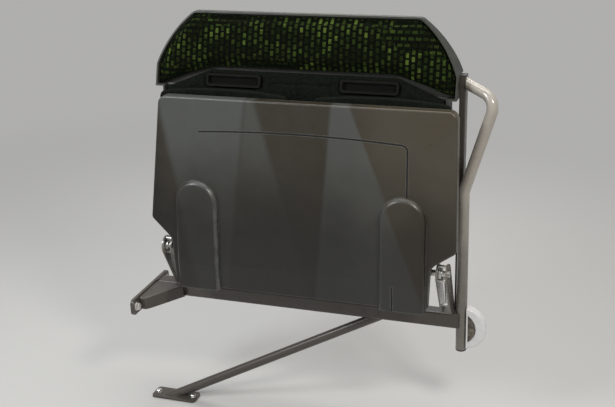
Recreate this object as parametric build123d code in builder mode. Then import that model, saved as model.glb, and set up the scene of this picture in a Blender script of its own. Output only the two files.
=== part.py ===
"""Double tip-up seat of a city bus, folded up, hung on a beam from the side wall.

Millimetres. X runs from the wall into the aisle, Y from the seat's front to its back, Z up.
The origin is on the wall's face, at the beam's axis.
"""

import os
from math import cos, radians, sin, tan

from build123d import *

os.makedirs("parts", exist_ok=True)

# Overall
CENTRE_X = 450.0
FLOOR_Z = -296.0
SOFT_GAP = 0.4
FIT_GAP = 0.3
TRIM = 400.0

# Beam and wall flange
BEAM = 40.0
BEAM_WALL = 3.0
BEAM_RADIUS = 6.0
FLANGE_T = 8.0
FLANGE_HEIGHT = 44.0
FRONT_BOLT_Y = -148.0
REAR_BOLT_Y = 34.0
BOLT_HOLE_R = 6.5
FLANGE_END = 18.0
GUSSET_T = 36.0
GUSSET_TIP_X = 38.0
GUSSET_ROOT_X = 92.0

# Uprights, back rail and grab loop
BAR_X = 16.0
BAR_Y = 30.0
BAR_WALL = 2.0
BAR_CENTRE_X = 447.0
BAR_OFFSET = 393.0
BAR_TOP = 622.0
BAR_TILT = 2.0
RAIL_Z = 598.0
RAIL_HEIGHT = 34.0
RAIL_T = 6.0
TUBE_R = 14.0
TUBE_WALL = 2.0
TUBE_OFFSET = 406.0
TUBE_LOW = -82.0
LOOP_TOP_Z = 606.0
LOOP_OUT = 72.0
LOOP_CORNER_Z = 580.0
LOOP_JOIN_Z = 345.0
LOOP_BEND_R = 36.0

# Support strut
STRUT_R = 12.5
STRUT_WALL = 2.0
STRUT_FOOT_X = 75.0
STRUT_FOOT_Y = -92.0
STRUT_TOP_X = 636.0
FOOT_LENGTH = 130.0
FOOT_WIDTH = 50.0
FOOT_T = 6.0
FOOT_BOLT_SPACING = 104.0
FOOT_HOLE_R = 4.5

# Hinge
HINGE_Y = -62.0
HINGE_Z = 150.0
SHAFT_R = 8.0
BORE_R = 8.05
BRACKET_OFFSET = 369.5
BRACKET_WIDTH = 28.0
CHEEK_T = 4.0
CHEEK_R = 26.0
LEVER_LENGTH = 32.0
LEVER_ANGLE = -42.0
LEVER_T = 6.0
FOLD_RANGE = 90.0
STOP_DISTANCE = 20.0
STOP_R = 4.0
SPRING_R = 5.5
SPRING_PIN_R = 3.0
SPRING_COILS = 17
ANCHOR_Y = -15.0
ANCHOR_Z = 42.0

# Seat pan, folded
PAN_X = 454.0
PAN_WIDTH = 808.0
PAN_TOP_LEFT = 368.0
PAN_TOP_RIGHT = 398.0
PAN_TAIL = 342.0
PAN_LOW_Z = 60.0
PAN_TOP_Z = 565.0
PAN_DEPTH = 26.0
PAN_SKIN = 4.0
PAN_RIM = 5.0
BELLY_Z = 130.0
BELLY_Y = -105.0
PAN_TOP_Y = -75.0
NOTCH_HIGH_LEFT_Z = 240.0
NOTCH_HIGH_RIGHT_Z = 220.0
NOTCH_LOW_Z = 180.0
NOTCH_CORNER_R = 12.0
NOTCH_INNER_R = 40.0
PAN_CORNER_R = 22.0
PAN_EDGE_R = 5.0
ARM_OFFSET = 254.0
ARM_T = 6.0
ARM_TOP_Z = 500.0
ARM_RISE = 20.0
HUB_WALL = 7.0
SLEEVE_WALL = 5.0
SLEEVE_LENGTH = 40.0
BOSS_OFFSET = 272.0
BOSS_WIDTH = 116.0
BOSS_TOP_Z = 352.0
BOSS_RISE = 16.0
BOSS_EDGE_R = 14.0
SLOT_OFFSET = 250.0
SLOT_WIDTH = 4.0
SLOT_DEPTH = 2.6
SLOT_TOP_Z = 126.0
GROOVE_WIDTH = 4.0
GROOVE_DEPTH = 1.8
GROOVE_Z = 479.0
GROOVE_RISE = 9.0
GROOVE_LEFT = 260.0
GROOVE_RIGHT = 281.0

# Cushions
CUSHION_WIDTH = 350.0
CUSHION_GAP = 60.0
CUSHION_LOW_Z = 188.0
CUSHION_SHOULDER_Z = 572.0
CUSHION_TOP_Z = 584.0

# Backrest
BACK_X = 443.0
BACK_LOW_Z = 200.0
BACK_BEND_Z = 574.0
BACK_SHOULDER_Z = 628.0
BACK_TOP_Z = 760.0
BACK_WIDTH = 786.0
BACK_LOW_WIDTH = 744.0
BACK_TOP_WIDTH = 592.0
BACK_LOW_Y = -44.0
BACK_BEND_Y = -12.0
BACK_TOP_Y = 40.0
BACK_REAR_Y = 46.0
BACK_SKIN = 4.0
BACK_RIM = 4.0
SHOULDER_BULGE = 12.0
SHOULDER_R = 24.0
PAD_DEPTH = 26.0
PAD_TOP_DEPTH = 16.0
ARCH_HALF_WIDTH = 235.0
ARCH_Z = 620.0
PAD_SEAM = 2.0
LOW_PAD_DEPTH = 20.0
LOW_PAD_LOW_Z = 210.0
INSERT_OFFSET = 178.0
INSERT_WIDTH = 148.0
INSERT_HEIGHT = 30.0
INSERT_Z = 596.0
INSERT_R = 8.0
RIB_T = 3.0
RIB_SET_BACK = 6.0
RIB_OFFSETS = (-254.0, -85.0, 85.0, 254.0)
RIB_HEIGHTS = (325.0, 450.0)


def pan_outer(z):
    """Y of the folded pan's underside at height z."""
    return BELLY_Y + max(0.0, z - BELLY_Z) * (PAN_TOP_Y - BELLY_Y) / (PAN_TOP_Z - BELLY_Z)


def pan_inner(z):
    """Y of the folded pan's open side at height z."""
    return pan_outer(z) + PAN_DEPTH


def back_front(z):
    """Y of the backrest's front at height z."""
    if z < BACK_BEND_Z:
        share = (z - BACK_LOW_Z) / (BACK_BEND_Z - BACK_LOW_Z)
        return BACK_LOW_Y + share * (BACK_BEND_Y - BACK_LOW_Y)
    share = (z - BACK_BEND_Z) / (BACK_TOP_Z - BACK_BEND_Z)
    return BACK_BEND_Y + share * (BACK_TOP_Y - BACK_BEND_Y)


def pad_floor(z):
    """Y of the bottom of the backrest's recess at height z."""
    share = (z - BACK_BEND_Z) / (BACK_TOP_Z - BACK_BEND_Z)
    return back_front(z) + PAD_DEPTH + share * (PAD_TOP_DEPTH - PAD_DEPTH)


def seat_face(z):
    """Y of the folded cushions' sitting face at height z."""
    share = (z - BACK_LOW_Z) / (BACK_BEND_Z - BACK_LOW_Z)
    return BACK_LOW_Y - 7.0 + share * (BACK_BEND_Y - BACK_LOW_Y)


def write(part, name):
    part.label = name
    export_step(part, f"parts/{name}.step")


tube_x = CENTRE_X + TUBE_OFFSET

# The beam, a square tube from the flange to the grab tube, coped to fit it
with BuildPart() as cross_beam:
    with BuildSketch(Plane.YZ.offset(FLANGE_T)):
        RectangleRounded(BEAM, BEAM, BEAM_RADIUS)
        RectangleRounded(
            BEAM - 2 * BEAM_WALL, BEAM - 2 * BEAM_WALL, BEAM_RADIUS - BEAM_WALL, mode=Mode.SUBTRACT
        )
    extrude(amount=tube_x - 4 - FLANGE_T)
    with Locations((tube_x, 0, 0)):
        Cylinder(TUBE_R + 0.1, BEAM + 10, mode=Mode.SUBTRACT)
    with Locations((tube_x + 30, 0, 0)):
        Box(60, 2 * BEAM, 2 * BEAM, mode=Mode.SUBTRACT)
write(cross_beam.part, "cross_beam")

# Wall flange, with a tapered arm that reaches along the wall to the front bolt
flange_front = FRONT_BOLT_Y - FLANGE_END
flange_rear = REAR_BOLT_Y + FLANGE_END
with BuildPart() as wall_flange:
    with BuildSketch(Plane.YZ):
        with Locations(((flange_front + flange_rear) / 2, 0)):
            RectangleRounded(flange_rear - flange_front, FLANGE_HEIGHT, 12)
        with Locations((FRONT_BOLT_Y, 0), (REAR_BOLT_Y, 0)):
            Circle(BOLT_HOLE_R, mode=Mode.SUBTRACT)
    extrude(amount=FLANGE_T)
    with BuildSketch(Plane.XY.offset(-GUSSET_T / 2)):
        with BuildLine():
            Polyline(
                (FLANGE_T, -BEAM / 2),
                (FLANGE_T, FRONT_BOLT_Y + FLANGE_END),
                (GUSSET_TIP_X - 12, FRONT_BOLT_Y + FLANGE_END),
                (GUSSET_TIP_X, FRONT_BOLT_Y + FLANGE_END + 14),
                (GUSSET_ROOT_X, -BEAM / 2 - 14),
                (GUSSET_ROOT_X, -BEAM / 2),
                close=True,
            )
        make_face()
    extrude(amount=GUSSET_T)
    gusset_edges = wall_flange.edges().filter_by_position(Axis.X, FLANGE_T + 2, GUSSET_ROOT_X - 1)
    fillet(gusset_edges.filter_by_position(Axis.Y, FRONT_BOLT_Y, -BEAM / 2 - 8), 5)
write(wall_flange.part, "wall_flange")

# Uprights, flat tubes welded to the back of the beam and leaning back a little
bar_low = -BEAM / 2
bar_front = BEAM / 2 + 0.2
bar_up = (0, sin(radians(BAR_TILT)), cos(radians(BAR_TILT)))
bar_lean = Plane(origin=(0, bar_front, bar_low), x_dir=(1, 0, 0), z_dir=bar_up)
bar_length = (BAR_TOP - bar_low) / cos(radians(BAR_TILT))


def bar_y(z):
    """Y of the uprights' middle at height z."""
    middle = bar_front + BAR_Y / 2 / cos(radians(BAR_TILT))
    return middle + (z - bar_low) * tan(radians(BAR_TILT))


for side, sign in (("left", -1), ("right", 1)):
    x = BAR_CENTRE_X + sign * BAR_OFFSET
    with BuildPart() as upright:
        with BuildSketch(bar_lean):
            with Locations((x, BAR_Y / 2)):
                RectangleRounded(BAR_X, BAR_Y, 3)
                RectangleRounded(BAR_X - 2 * BAR_WALL, BAR_Y - 2 * BAR_WALL, 1, mode=Mode.SUBTRACT)
        extrude(amount=bar_length)
    write(upright.part, f"upright_{side}")
    with BuildPart() as plug:
        with BuildSketch(bar_lean.offset(bar_length)):
            with Locations((x, BAR_Y / 2)):
                RectangleRounded(BAR_X, BAR_Y, 3)
        extrude(amount=3)
        fillet(plug.edges().group_by(Axis.Z)[-1], 1)
        with BuildSketch(bar_lean.offset(bar_length)):
            with Locations((x, BAR_Y / 2)):
                Rectangle(BAR_X - 2 * BAR_WALL - 1.2, BAR_Y - 2 * BAR_WALL - 1.2)
        extrude(amount=-12)
    write(plug.part, f"upright_plug_{side}")

# Rail behind the backrest, from upright to upright
rail_y = bar_y(RAIL_Z) + BAR_Y / 2 + 1.2
with BuildPart() as back_rail:
    with BuildSketch(Plane.XZ.offset(-rail_y)):
        with Locations((BAR_CENTRE_X, RAIL_Z)):
            RectangleRounded(2 * BAR_OFFSET + BAR_X, RAIL_HEIGHT, 5)
        with Locations((BACK_X - ARM_OFFSET, RAIL_Z), (BACK_X + ARM_OFFSET, RAIL_Z)):
            Circle(3.2, mode=Mode.SUBTRACT)
    extrude(amount=-RAIL_T)
write(back_rail.part, "back_rail")

# Grab tube: up from below the beam, out into a loop and back to the upright
bar_face = BAR_CENTRE_X + BAR_OFFSET + BAR_X / 2 + 0.1
with BuildPart() as grab_tube:
    with BuildLine() as loop_path:
        FilletPolyline(
            (tube_x, 0, TUBE_LOW),
            (tube_x, 0, LOOP_JOIN_Z),
            (tube_x + LOOP_OUT, 0, LOOP_CORNER_Z),
            (bar_face - 8, bar_y(LOOP_TOP_Z), LOOP_TOP_Z),
            radius=LOOP_BEND_R,
        )
    with BuildSketch(Plane(origin=loop_path.line @ 0, z_dir=loop_path.line % 0)):
        Circle(TUBE_R)
        Circle(TUBE_R - TUBE_WALL, mode=Mode.SUBTRACT)
    sweep()
    with Locations((bar_face - 40, bar_y(LOOP_TOP_Z), LOOP_TOP_Z)):
        Box(80, 120, 120, mode=Mode.SUBTRACT)
write(grab_tube.part, "grab_tube")

with BuildPart() as foot_plug:
    with BuildSketch(Plane.XY.offset(TUBE_LOW)):
        with Locations((tube_x, 0)):
            Circle(TUBE_R)
    extrude(amount=-5)
    fillet(foot_plug.edges().group_by(Axis.Z)[0], 3)
    with BuildSketch(Plane.XY.offset(TUBE_LOW)):
        with Locations((tube_x, 0)):
            Circle(TUBE_R - TUBE_WALL - 0.1)
    extrude(amount=12)
write(foot_plug.part, "foot_plug")

# Crescent cap on the aisle side of the grab tube, level with the beam
CAP_R = 58.0
CAP_INNER_R = 45.0
CAP_DEPTH = 26.0
CAP_Z = -20.0
cap_flat = TUBE_R + 0.3
with BuildPart() as end_cap:
    with BuildSketch(Plane.XZ.offset(-CAP_DEPTH / 2)):
        with Locations((tube_x + 6, CAP_Z)):
            Circle(CAP_R)
        with Locations((tube_x + cap_flat - 60, CAP_Z)):
            Rectangle(120, 2.5 * CAP_R, mode=Mode.SUBTRACT)
    extrude(amount=CAP_DEPTH)
    fillet(end_cap.edges().filter_by(GeomType.CIRCLE), 6)
    with BuildSketch(Plane.XZ.offset(CAP_DEPTH / 2 - 7)):
        with Locations((tube_x - 6, CAP_Z)):
            Circle(CAP_INNER_R)
        with Locations((tube_x + cap_flat + 4 - 60, CAP_Z)):
            Rectangle(120, 2.5 * CAP_R, mode=Mode.SUBTRACT)
    extrude(amount=10, mode=Mode.SUBTRACT)
write(end_cap.part, "end_cap")

# Support strut from the floor foot up to the beam's underside
foot_top = FLOOR_Z + FOOT_T
strut_low = Vector(STRUT_FOOT_X, STRUT_FOOT_Y, foot_top)
strut_high = Vector(STRUT_TOP_X, 0, -BEAM / 2)
strut_dir = (strut_high - strut_low).normalized()
with BuildPart() as support_strut:
    with BuildSketch(Plane(origin=strut_low - strut_dir * 60, z_dir=strut_dir)):
        Circle(STRUT_R)
        Circle(STRUT_R - STRUT_WALL, mode=Mode.SUBTRACT)
    extrude(amount=(strut_high - strut_low).length + 120)
    with Locations((STRUT_TOP_X, 0, -BEAM / 2 - 0.1 + TRIM / 2)):
        Box(1.5 * TRIM, TRIM, TRIM, mode=Mode.SUBTRACT)
    with Locations((STRUT_FOOT_X, STRUT_FOOT_Y, foot_top - TRIM / 2)):
        Box(1.5 * TRIM, TRIM, TRIM, mode=Mode.SUBTRACT)
write(support_strut.part, "support_strut")

with BuildPart() as strut_foot:
    with BuildSketch(Plane.XY.offset(FLOOR_Z)):
        with Locations((STRUT_FOOT_X, STRUT_FOOT_Y)):
            RectangleRounded(FOOT_LENGTH, FOOT_WIDTH, 10)
            with Locations((-FOOT_BOLT_SPACING / 2, 0), (FOOT_BOLT_SPACING / 2, 0)):
                Circle(FOOT_HOLE_R, mode=Mode.SUBTRACT)
    extrude(amount=FOOT_T)
write(strut_foot.part, "strut_foot")


# Hinge brackets, their stops and springs, and the levers on the shaft
def around_hinge(distance, angle):
    return (HINGE_Y + distance * cos(radians(angle)), HINGE_Z + distance * sin(radians(angle)))


lever_tip = around_hinge(LEVER_LENGTH, LEVER_ANGLE)
up_stop = around_hinge(STOP_DISTANCE, LEVER_ANGLE - 46)
down_stop = around_hinge(STOP_DISTANCE, LEVER_ANGLE + FOLD_RANGE + 46)
bracket_foot_z = BEAM / 2 + 0.1
for side, sign in (("left", -1), ("right", 1)):
    x = CENTRE_X + sign * BRACKET_OFFSET
    with BuildPart() as hinge_bracket:
        for start in (x - BRACKET_WIDTH / 2, x + BRACKET_WIDTH / 2 - CHEEK_T):
            with BuildSketch(Plane.YZ.offset(start)):
                with BuildLine():
                    Polyline(
                        (-BEAM / 2, bracket_foot_z),
                        (BEAM / 2 - 2, bracket_foot_z),
                        (BEAM / 2 - 2, bracket_foot_z + 14),
                        (HINGE_Y + 25, HINGE_Z + 12),
                        (HINGE_Y, HINGE_Z),
                        (HINGE_Y - CHEEK_R + 1.2, HINGE_Z - 8),
                        close=True,
                    )
                make_face()
                with Locations((HINGE_Y, HINGE_Z)):
                    Circle(CHEEK_R)
                with Locations((HINGE_Y, HINGE_Z)):
                    Circle(BORE_R, mode=Mode.SUBTRACT)
                with Locations(up_stop, down_stop):
                    Circle(STOP_R, mode=Mode.SUBTRACT)
                with Locations((ANCHOR_Y, ANCHOR_Z)):
                    Circle(SPRING_PIN_R, mode=Mode.SUBTRACT)
            extrude(amount=CHEEK_T)
        with BuildSketch(Plane.XY.offset(bracket_foot_z)):
            with Locations((x, -1)):
                Rectangle(BRACKET_WIDTH, BEAM - 2)
        extrude(amount=CHEEK_T)
    write(hinge_bracket.part, f"hinge_bracket_{side}")

    for name, place, radius in (
        ("up_stop", up_stop, STOP_R),
        ("down_stop", down_stop, STOP_R),
        ("spring_anchor", (ANCHOR_Y, ANCHOR_Z), SPRING_PIN_R),
    ):
        with BuildPart() as pin:
            with BuildSketch(Plane.YZ.offset(x - BRACKET_WIDTH / 2)):
                with Locations(place):
                    Circle(radius)
            extrude(amount=BRACKET_WIDTH)
        write(pin.part, f"{name}_{side}")

    lever_x = x - BRACKET_WIDTH / 2 + CHEEK_T + 1.5
    with BuildPart() as lever:
        with BuildSketch(Plane.YZ.offset(lever_x)):
            with Locations((HINGE_Y, HINGE_Z)):
                Circle(SHAFT_R + 6)
            with Locations(lever_tip):
                Circle(8)
            with BuildLine():
                across = Vector(sin(radians(LEVER_ANGLE)), -cos(radians(LEVER_ANGLE)))
                hub = Vector(HINGE_Y, HINGE_Z)
                tip = Vector(*lever_tip)
                wide, narrow = across * 9, across * 7
                Polyline(hub + wide, tip + narrow, tip - narrow, hub - wide, close=True)
            make_face()
            with Locations((HINGE_Y, HINGE_Z)):
                Circle(SHAFT_R, mode=Mode.SUBTRACT)
            with Locations(lever_tip):
                Circle(SPRING_PIN_R, mode=Mode.SUBTRACT)
        extrude(amount=LEVER_T)
    write(lever.part, f"spring_lever_{side}")

    with BuildPart() as lever_pin:
        with BuildSketch(Plane.YZ.offset(lever_x)):
            with Locations(lever_tip):
                Circle(SPRING_PIN_R)
        extrude(amount=BRACKET_WIDTH - 2 * CHEEK_T - 3)
    write(lever_pin.part, f"lever_pin_{side}")

    # The return spring, drawn as a ribbed bar with an eye at each end
    spring_x = lever_x + LEVER_T + 0.4 + SPRING_R
    spring_from = Vector(spring_x, ANCHOR_Y, ANCHOR_Z)
    spring_to = Vector(spring_x, *lever_tip)
    spring_dir = (spring_to - spring_from).normalized()
    eye = SPRING_PIN_R + 2.2
    pitch = ((spring_to - spring_from).length - 2 * eye) / SPRING_COILS
    profile = [(0, eye)]
    for turn in range(SPRING_COILS):
        profile.append((SPRING_R - 1.6, eye + turn * pitch))
        profile.append((SPRING_R, eye + (turn + 0.5) * pitch))
    profile.append((SPRING_R - 1.6, eye + SPRING_COILS * pitch))
    profile.append((0, eye + SPRING_COILS * pitch))
    spring_plane = Plane(origin=spring_from, x_dir=(1, 0, 0), z_dir=Vector(1, 0, 0).cross(spring_dir))
    with BuildPart() as return_spring:
        with BuildSketch(spring_plane):
            with BuildLine():
                Polyline(*profile, close=True)
            make_face()
        revolve(axis=Axis(spring_from, spring_dir))
        for end in (spring_from, spring_to):
            with BuildSketch(Plane(origin=end, x_dir=(0, 1, 0), z_dir=(1, 0, 0))):
                Circle(SPRING_PIN_R + 2.4)
                Circle(SPRING_PIN_R + 0.3, mode=Mode.SUBTRACT)
            extrude(amount=1.0, both=True)
    write(return_spring.part, f"return_spring_{side}")

# The pivot shaft turns in both brackets
shaft_half = BRACKET_OFFSET + BRACKET_WIDTH / 2 + 4
with BuildPart() as pivot_shaft:
    with BuildSketch(Plane.YZ.offset(CENTRE_X - shaft_half)):
        with Locations((HINGE_Y, HINGE_Z)):
            Circle(SHAFT_R)
    extrude(amount=2 * shaft_half)
    chamfer(pivot_shaft.edges().filter_by(GeomType.CIRCLE), 1)
write(pivot_shaft.part, "pivot_shaft")

# Outline of the pan, seen from the front: (x from the pan's middle, z)
pan_outline = [
    (-PAN_TAIL, PAN_LOW_Z),
    (-PAN_TAIL - 6, NOTCH_LOW_Z + 6),
    (-PAN_WIDTH / 2, NOTCH_HIGH_LEFT_Z),
    (-PAN_TOP_LEFT, PAN_TOP_Z),
    (PAN_TOP_RIGHT, PAN_TOP_Z),
    (PAN_WIDTH / 2, NOTCH_HIGH_RIGHT_Z),
    (PAN_TAIL - 2, NOTCH_LOW_Z - 4),
    (PAN_TAIL - 8, PAN_LOW_Z),
]
# Its corners: (z from, z to, radius)
pan_corners = [
    (PAN_TOP_Z - 1, PAN_TOP_Z + 1, PAN_CORNER_R),
    (NOTCH_LOW_Z + 20, NOTCH_HIGH_LEFT_Z + 1, NOTCH_CORNER_R),
    (NOTCH_LOW_Z - 10, NOTCH_LOW_Z + 10, NOTCH_INNER_R),
    (PAN_LOW_Z - 1, PAN_LOW_Z + 1, NOTCH_CORNER_R),
]
pan_left = PAN_X - PAN_WIDTH / 2 - 10
pan_span = PAN_WIDTH + 20


def pan_face(inset):
    """The pan seen from the front, in X and Z."""
    with BuildSketch(Plane.XZ.offset(TRIM / 2)) as outline:
        with BuildLine():
            Polyline(*[(PAN_X + px, pz) for px, pz in pan_outline], close=True)
        make_face()
        for low, high, radius in pan_corners:
            fillet(outline.vertices().filter_by_position(Axis.Y, low, high), radius)
        if inset:
            offset(amount=-inset)
    return outline.sketch


def pan_slab(near, far, low=PAN_LOW_Z, high=PAN_TOP_Z):
    """Corners of a slice of the pan, from near to far behind its underside."""
    return [
        (BELLY_Y + near, low),
        (BELLY_Y + near, BELLY_Z),
        (PAN_TOP_Y + near, high),
        (PAN_TOP_Y + far, high),
        (BELLY_Y + far, BELLY_Z),
        (BELLY_Y + far, low),
    ]


with BuildPart() as pan_pocket:
    with BuildSketch(Plane.YZ.offset(pan_left)):
        with BuildLine():
            Polyline(*pan_slab(PAN_SKIN, PAN_DEPTH + 20), close=True)
        make_face()
    extrude(amount=pan_span)
    extrude(pan_face(PAN_RIM), amount=-TRIM, mode=Mode.INTERSECT)

boss_parts = []
for rise, inset in ((BOSS_RISE, 0.0), (BOSS_RISE - PAN_SKIN, PAN_SKIN)):
    with BuildPart() as boss:
        with BuildSketch(Plane.YZ.offset(pan_left)):
            with BuildLine():
                Polyline(*pan_slab(-rise, PAN_SKIN + 0.01), close=True)
            make_face()
        extrude(amount=pan_span)
        with BuildSketch(Plane.XZ.offset(TRIM / 2)):
            radius = BOSS_WIDTH / 2 - inset
            arch_z = BOSS_TOP_Z - BOSS_WIDTH / 2
            low = PAN_LOW_Z + inset
            with Locations((PAN_X - BOSS_OFFSET, arch_z), (PAN_X + BOSS_OFFSET, arch_z)):
                Circle(radius)
                with Locations((0, (low - arch_z) / 2)):
                    Rectangle(2 * radius, arch_z - low)
        extrude(amount=-TRIM, mode=Mode.INTERSECT)
        fronts = boss.faces().filter_by(lambda f: f.normal_at().Y < -0.9)
        rims = [e for f in fronts for e in f.edges()]
        rims = [e for e in rims if rims.count(e) == 1 and e.center().Z > PAN_LOW_Z + inset + 1]
        fillet(ShapeList(rims), BOSS_EDGE_R - inset)
    boss_parts.append(boss.part)

with BuildPart() as pan_groove:
    with BuildSketch(Plane.YZ.offset(pan_left)):
        with BuildLine():
            Polyline(*pan_slab(-1, GROOVE_DEPTH), close=True)
        make_face()
    extrude(amount=pan_span)
    with BuildSketch(Plane.XZ.offset(TRIM / 2)):
        with BuildLine():
            ThreePointArc(
                (PAN_X - GROOVE_LEFT, GROOVE_Z),
                (PAN_X, GROOVE_Z + GROOVE_RISE),
                (PAN_X + GROOVE_RIGHT - 14, GROOVE_Z),
            )
            ThreePointArc(
                (PAN_X + GROOVE_RIGHT - 14, GROOVE_Z),
                (PAN_X + GROOVE_RIGHT - 4, GROOVE_Z - 4.5),
                (PAN_X + GROOVE_RIGHT, GROOVE_Z - 14),
            )
            Line((PAN_X + GROOVE_RIGHT, GROOVE_Z - 14), (PAN_X + GROOVE_RIGHT, BOSS_TOP_Z - 14))
        trace(line_width=GROOVE_WIDTH)
    extrude(amount=-TRIM, mode=Mode.INTERSECT)

with BuildPart() as seat_pan:
    with BuildSketch(Plane.YZ.offset(pan_left)):
        with BuildLine():
            Polyline(*pan_slab(0, PAN_DEPTH), close=True)
        make_face()
    extrude(amount=pan_span)
    extrude(pan_face(0), amount=-TRIM, mode=Mode.INTERSECT)
    large_faces = seat_pan.faces().filter_by(GeomType.PLANE).sort_by(SortBy.AREA)[-4:]
    front_faces = large_faces.sort_by(Axis.Y)[:2]
    shared = [edge for edge in front_faces[0].edges() if edge in front_faces[1].edges()]
    rim_edges = ShapeList([e for f in front_faces for e in f.edges() if e not in shared])
    fillet(rim_edges, PAN_EDGE_R)
    add(pan_pocket.part, mode=Mode.SUBTRACT)
    add(boss_parts[0])
    add(boss_parts[1], mode=Mode.SUBTRACT)
    add(pan_groove.part, mode=Mode.SUBTRACT)
    with Locations((PAN_X + SLOT_OFFSET, BELLY_Y - BOSS_RISE, (PAN_LOW_Z + SLOT_TOP_Z) / 2)):
        Box(SLOT_WIDTH, 2 * SLOT_DEPTH, SLOT_TOP_Z - PAN_LOW_Z, mode=Mode.SUBTRACT)
write(seat_pan.part, "seat_pan")

# Two arms inside the pan carry it on the shaft, each on a sleeve
hub_r = SHAFT_R + HUB_WALL
hub_root_y = BELLY_Y + PAN_DEPTH - 3
arm_front = PAN_SKIN + FIT_GAP
for side, sign in (("left", -1), ("right", 1)):
    x = PAN_X + sign * ARM_OFFSET
    with BuildPart() as pan_arm:
        with BuildSketch(Plane.YZ.offset(x - ARM_T / 2)):
            with BuildLine():
                Polyline(
                    (BELLY_Y + arm_front, PAN_LOW_Z + ARM_RISE),
                    (BELLY_Y + arm_front, BELLY_Z),
                    (pan_outer(ARM_TOP_Z) + arm_front, ARM_TOP_Z),
                    (pan_inner(ARM_TOP_Z), ARM_TOP_Z),
                    (pan_inner(CUSHION_LOW_Z), CUSHION_LOW_Z),
                    (pan_inner(PAN_LOW_Z), PAN_LOW_Z + ARM_RISE),
                    close=True,
                )
            make_face()
            with Locations((HINGE_Y, HINGE_Z)):
                Circle(hub_r)
            with BuildLine():
                Polyline(
                    (hub_root_y, HINGE_Z - hub_r),
                    (HINGE_Y, HINGE_Z - hub_r),
                    (HINGE_Y, HINGE_Z + hub_r),
                    (hub_root_y, HINGE_Z + hub_r),
                    close=True,
                )
            make_face()
            with Locations((HINGE_Y, HINGE_Z)):
                Circle(SHAFT_R, mode=Mode.SUBTRACT)
        extrude(amount=ARM_T)
        with BuildSketch(Plane.YZ.offset(x - SLEEVE_LENGTH / 2)):
            with Locations((HINGE_Y, HINGE_Z)):
                Circle(SHAFT_R + SLEEVE_WALL)
                Circle(SHAFT_R, mode=Mode.SUBTRACT)
        extrude(amount=SLEEVE_LENGTH)
    write(pan_arm.part, f"pan_arm_{side}")

# Cushions, thin pads with an arched front edge
for side, sign in (("left", -1), ("right", 1)):
    x = PAN_X + sign * (CUSHION_GAP + CUSHION_WIDTH) / 2
    with BuildPart() as cushion:
        with BuildSketch(Plane.YZ.offset(x - CUSHION_WIDTH / 2)):
            with BuildLine():
                Polyline(
                    (pan_inner(CUSHION_LOW_Z) + SOFT_GAP, CUSHION_LOW_Z),
                    (seat_face(CUSHION_LOW_Z), CUSHION_LOW_Z),
                    (seat_face(CUSHION_TOP_Z), CUSHION_TOP_Z),
                    (pan_inner(CUSHION_TOP_Z) + SOFT_GAP, CUSHION_TOP_Z),
                    close=True,
                )
            make_face()
        extrude(amount=CUSHION_WIDTH)
        with BuildSketch(Plane.XZ.offset(TRIM / 2)) as cushion_face:
            with BuildLine():
                Polyline(
                    (x - CUSHION_WIDTH / 2, CUSHION_SHOULDER_Z),
                    (x - CUSHION_WIDTH / 2, CUSHION_LOW_Z),
                    (x + CUSHION_WIDTH / 2, CUSHION_LOW_Z),
                    (x + CUSHION_WIDTH / 2, CUSHION_SHOULDER_Z),
                )
                ThreePointArc(
                    (x + CUSHION_WIDTH / 2, CUSHION_SHOULDER_Z),
                    (x, CUSHION_TOP_Z),
                    (x - CUSHION_WIDTH / 2, CUSHION_SHOULDER_Z),
                )
            make_face()
            fillet(cushion_face.vertices(), 16)
        extrude(amount=-TRIM, mode=Mode.INTERSECT)
    write(cushion.part, f"seat_cushion_{side}")

# Backrest shell: a moulding open at the back, with one recess in front for both pads
back_left = BACK_X - BACK_WIDTH / 2 - 10
back_span = BACK_WIDTH + 20
half, half_top, half_low = BACK_WIDTH / 2, BACK_TOP_WIDTH / 2, BACK_LOW_WIDTH / 2
slant = Vector(half - half_top, BACK_TOP_Z - BACK_SHOULDER_Z)
bulge_x = (half + half_top) / 2 + SHOULDER_BULGE * slant.Y / slant.length
bulge_z = (BACK_SHOULDER_Z + BACK_TOP_Z) / 2 + SHOULDER_BULGE * slant.X / slant.length


def back_outline(low, inset):
    """The backrest seen from the front, in X and Z, closed below by the points in low."""
    with BuildSketch(Plane.XZ.offset(TRIM / 2)) as outline:
        with BuildLine():
            Polyline((BACK_X + half, BACK_SHOULDER_Z), *[(BACK_X + px, pz) for px, pz in low])
            Line((BACK_X + low[-1][0], low[-1][1]), (BACK_X - half, BACK_SHOULDER_Z))
            ThreePointArc(
                (BACK_X - half, BACK_SHOULDER_Z),
                (BACK_X - bulge_x, bulge_z),
                (BACK_X - half_top, BACK_TOP_Z),
            )
            Line((BACK_X - half_top, BACK_TOP_Z), (BACK_X + half_top, BACK_TOP_Z))
            ThreePointArc(
                (BACK_X + half_top, BACK_TOP_Z),
                (BACK_X + bulge_x, bulge_z),
                (BACK_X + half, BACK_SHOULDER_Z),
            )
        make_face()
        shoulders = outline.vertices().filter_by_position(Axis.Y, BACK_SHOULDER_Z - 1, BACK_TOP_Z + 1)
        fillet(shoulders, SHOULDER_R)
        if inset:
            offset(amount=-inset)
    return outline.sketch


def slice_between(near, far, low, high):
    """Corners, in Y and Z, of a slice between two depths that are functions of height."""
    return [(near(low), low), (near(high), high), (far(high), high), (far(low), low)]


below_step = [(half, BACK_BEND_Z), (-half, BACK_BEND_Z)]
below_arch = [
    (half, BACK_BEND_Z + PAD_SEAM),
    (ARCH_HALF_WIDTH, ARCH_Z),
    (-ARCH_HALF_WIDTH, ARCH_Z),
    (-half, BACK_BEND_Z + PAD_SEAM),
]
low_inner = half_low - BACK_RIM

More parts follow.
